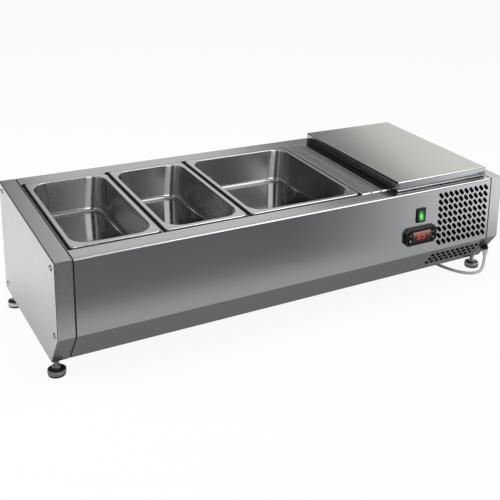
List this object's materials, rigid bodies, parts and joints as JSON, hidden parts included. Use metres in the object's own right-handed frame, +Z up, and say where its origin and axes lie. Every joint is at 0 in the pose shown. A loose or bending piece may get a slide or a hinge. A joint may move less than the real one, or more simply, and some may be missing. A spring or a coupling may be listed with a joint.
{
  "type": "countertop refrigerated ingredient rail",
  "caption": "Stainless countertop chilled rail with lift-out food pans in an open well, a vented machine compartment under a lift-off cover, switch, thermostat, screw feet and mains cord.",
  "frame": {"origin": "on the table, under the middle of the case with its controls and screw heads, cord left out", "axes": "+X to the right seen from the front, +Y to the back, +Z up"},
  "size_m": [1.05, 0.5903, 0.2926],
  "materials": {
    "brushed_sheet": "satin",
    "plain_sheet": "satin",
    "polished_sheet": "polished",
    "bright_steel": "polished",
    "black_rubber": "matte",
    "foam": "matte",
    "copper": "satin",
    "fin_aluminium": "satin",
    "black_paint": "satin",
    "black_plastic": "satin",
    "green_plastic": "gloss",
    "red_window": "gloss",
    "grey_cord": "satin"
  },
  "bodies": {
    "case": {"base_pan": "plain_sheet", "capillary_line": "copper", "coil_tie": "black_plastic", "compressor": "black_paint", "compressor_mounts": "black_rubber", "compressor_terminal_cover": "black_plastic", "condenser_fins": "fin_aluminium", "condenser_tube": "copper", "cord_coil": "grey_cord", "cord_gland": "black_plastic", "deck_sheet": "brushed_sheet", "discharge_line": "copper", "end_cap_screws": "bright_steel", "evaporator": "copper", "fan_motor": "black_paint", "fan_shroud": "plain_sheet", "filter_drier": "copper", "foot_nuts": "bright_steel", "front_panel": "brushed_sheet", "inner_tub": "polished_sheet", "insulation": "foam", "left_end_cap": "brushed_sheet", "left_end_frame": "plain_sheet", "liquid_line": "copper", "machine_bulkhead": "plain_sheet", "power_cord": "grey_cord", "power_plug": "grey_cord", "rear_panel": "plain_sheet", "right_end_cap": "brushed_sheet", "right_end_frame": "plain_sheet", "suction_line": "copper", "switch_housing": "black_plastic", "temperature_probe": "black_plastic", "terminal_box": "black_plastic", "thermostat_housing": "black_plastic", "thermostat_window": "red_window"},
    "pan_third_left": {"pan_third_left": "polished_sheet"},
    "pan_third_right": {"pan_third_right": "polished_sheet"},
    "pan_half": {"pan_half": "polished_sheet"},
    "divider_left": {"divider_left": "polished_sheet"},
    "divider_right": {"divider_right": "polished_sheet"},
    "filler_bar_1": {"filler_bar_1": "polished_sheet"},
    "filler_bar_2": {"filler_bar_2": "polished_sheet"},
    "filler_bar_3": {"filler_bar_3": "polished_sheet"},
    "machine_cover": {"machine_cover": "brushed_sheet", "cover_buffers": "black_rubber"},
    "switch_rocker": {"switch_rocker": "green_plastic"},
    "thermostat_key_set": {"thermostat_key_set": "black_plastic"},
    "thermostat_key_up": {"thermostat_key_up": "black_plastic"},
    "thermostat_key_down": {"thermostat_key_down": "black_plastic"},
    "thermostat_key_defrost": {"thermostat_key_defrost": "black_plastic"},
    "fan": {"fan_blade": "black_plastic"},
    "foot_front_left": {"foot_stud_front_left": "bright_steel", "foot_pad_front_left": "black_rubber"},
    "foot_front_right": {"foot_stud_front_right": "bright_steel", "foot_pad_front_right": "black_rubber"},
    "foot_rear_left": {"foot_stud_rear_left": "bright_steel", "foot_pad_rear_left": "black_rubber"},
    "foot_rear_right": {"foot_stud_rear_right": "bright_steel", "foot_pad_rear_right": "black_rubber"}
  },
  "joints": [
    {"name": "pan_third_left_lift", "type": "slide", "parent": "case", "child": "pan_third_left", "axis": [0, -0.0698, 0.9976], "range_m": [0, 0.15]},
    {"name": "pan_third_right_lift", "type": "slide", "parent": "case", "child": "pan_third_right", "axis": [0, -0.0698, 0.9976], "range_m": [0, 0.15]},
    {"name": "pan_half_lift", "type": "slide", "parent": "case", "child": "pan_half", "axis": [0, -0.0698, 0.9976], "range_m": [0, 0.15]},
    {"name": "divider_left_lift", "type": "slide", "parent": "case", "child": "divider_left", "axis": [0, -0.0698, 0.9976], "range_m": [0, 0.08]},
    {"name": "divider_right_lift", "type": "slide", "parent": "case", "child": "divider_right", "axis": [0, -0.0698, 0.9976], "range_m": [0, 0.08]},
    {"name": "filler_bar_1_lift", "type": "slide", "parent": "case", "child": "filler_bar_1", "axis": [0, -0.0698, 0.9976], "range_m": [0, 0.08]},
    {"name": "filler_bar_2_lift", "type": "slide", "parent": "case", "child": "filler_bar_2", "axis": [0, -0.0698, 0.9976], "range_m": [0, 0.08]},
    {"name": "filler_bar_3_lift", "type": "slide", "parent": "case", "child": "filler_bar_3", "axis": [0, -0.0698, 0.9976], "range_m": [0, 0.08]},
    {"name": "machine_cover_lift", "type": "slide", "parent": "case", "child": "machine_cover", "axis": [0, -0.0698, 0.9976], "range_m": [0, 0.08]},
    {"name": "rocker_tip", "type": "hinge", "parent": "case", "child": "switch_rocker", "pos_m": [0.282, -0.1935, 0.191], "axis": [1, 0, 0], "range_deg": [0, 14]},
    {"name": "key_set_press", "type": "slide", "parent": "case", "child": "thermostat_key_set", "axis": [0, 1, 0], "range_m": [0, 0.0008], "stiffness_N_per_m": 500},
    {"name": "key_up_press", "type": "slide", "parent": "case", "child": "thermostat_key_up", "axis": [0, 1, 0], "range_m": [0, 0.0008], "stiffness_N_per_m": 500},
    {"name": "key_down_press", "type": "slide", "parent": "case", "child": "thermostat_key_down", "axis": [0, 1, 0], "range_m": [0, 0.0008], "stiffness_N_per_m": 500},
    {"name": "key_defrost_press", "type": "slide", "parent": "case", "child": "thermostat_key_defrost", "axis": [0, 1, 0], "range_m": [0, 0.0008], "stiffness_N_per_m": 500},
    {"name": "fan_spin", "type": "hinge", "parent": "case", "child": "fan", "pos_m": [0.355, -0.0635, 0.12], "axis": [0, 1, 0], "continuous": true},
    {"name": "foot_front_left_screw", "type": "slide", "parent": "case", "child": "foot_front_left", "axis": [0, 0, 1], "range_m": [-0.012, 0]},
    {"name": "foot_front_right_screw", "type": "slide", "parent": "case", "child": "foot_front_right", "axis": [0, 0, 1], "range_m": [-0.012, 0]},
    {"name": "foot_rear_left_screw", "type": "slide", "parent": "case", "child": "foot_rear_left", "axis": [0, 0, 1], "range_m": [-0.012, 0]},
    {"name": "foot_rear_right_screw", "type": "slide", "parent": "case", "child": "foot_rear_right", "axis": [0, 0, 1], "range_m": [-0.012, 0]}
  ]
}
